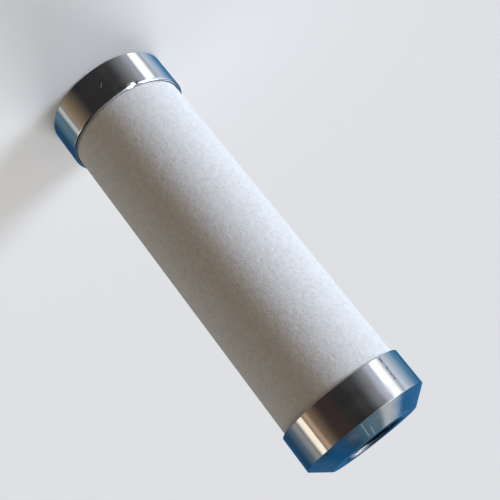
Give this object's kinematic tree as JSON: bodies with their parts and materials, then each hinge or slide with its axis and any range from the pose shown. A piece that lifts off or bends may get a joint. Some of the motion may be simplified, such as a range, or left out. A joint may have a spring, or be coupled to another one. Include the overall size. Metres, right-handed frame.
{
  "type": "probe filter element",
  "caption": "Porous white filter tube sealed between a plain closed steel end cap and a ported steel end cap with a conical shoulder.",
  "frame": {"origin": "centre of the flat end face of the closed end cap, on which the element stands", "axes": "+Z along the element's axis, from the closed end to the ported end; X and Y are any two directions across it"},
  "size_m": [0.03, 0.03, 0.1],
  "materials": {
    "turned_steel": "fine turned and polished",
    "porous_tube": "white, porous, fine grained and matt",
    "bonding_compound": "matt, dark grey"
  },
  "bodies": {
    "root": {"closed_end_cap": "turned_steel", "closed_end_bond": "bonding_compound", "filter_tube": "porous_tube", "ported_end_bond": "bonding_compound", "ported_end_cap": "turned_steel"}
  },
  "joints": []
}
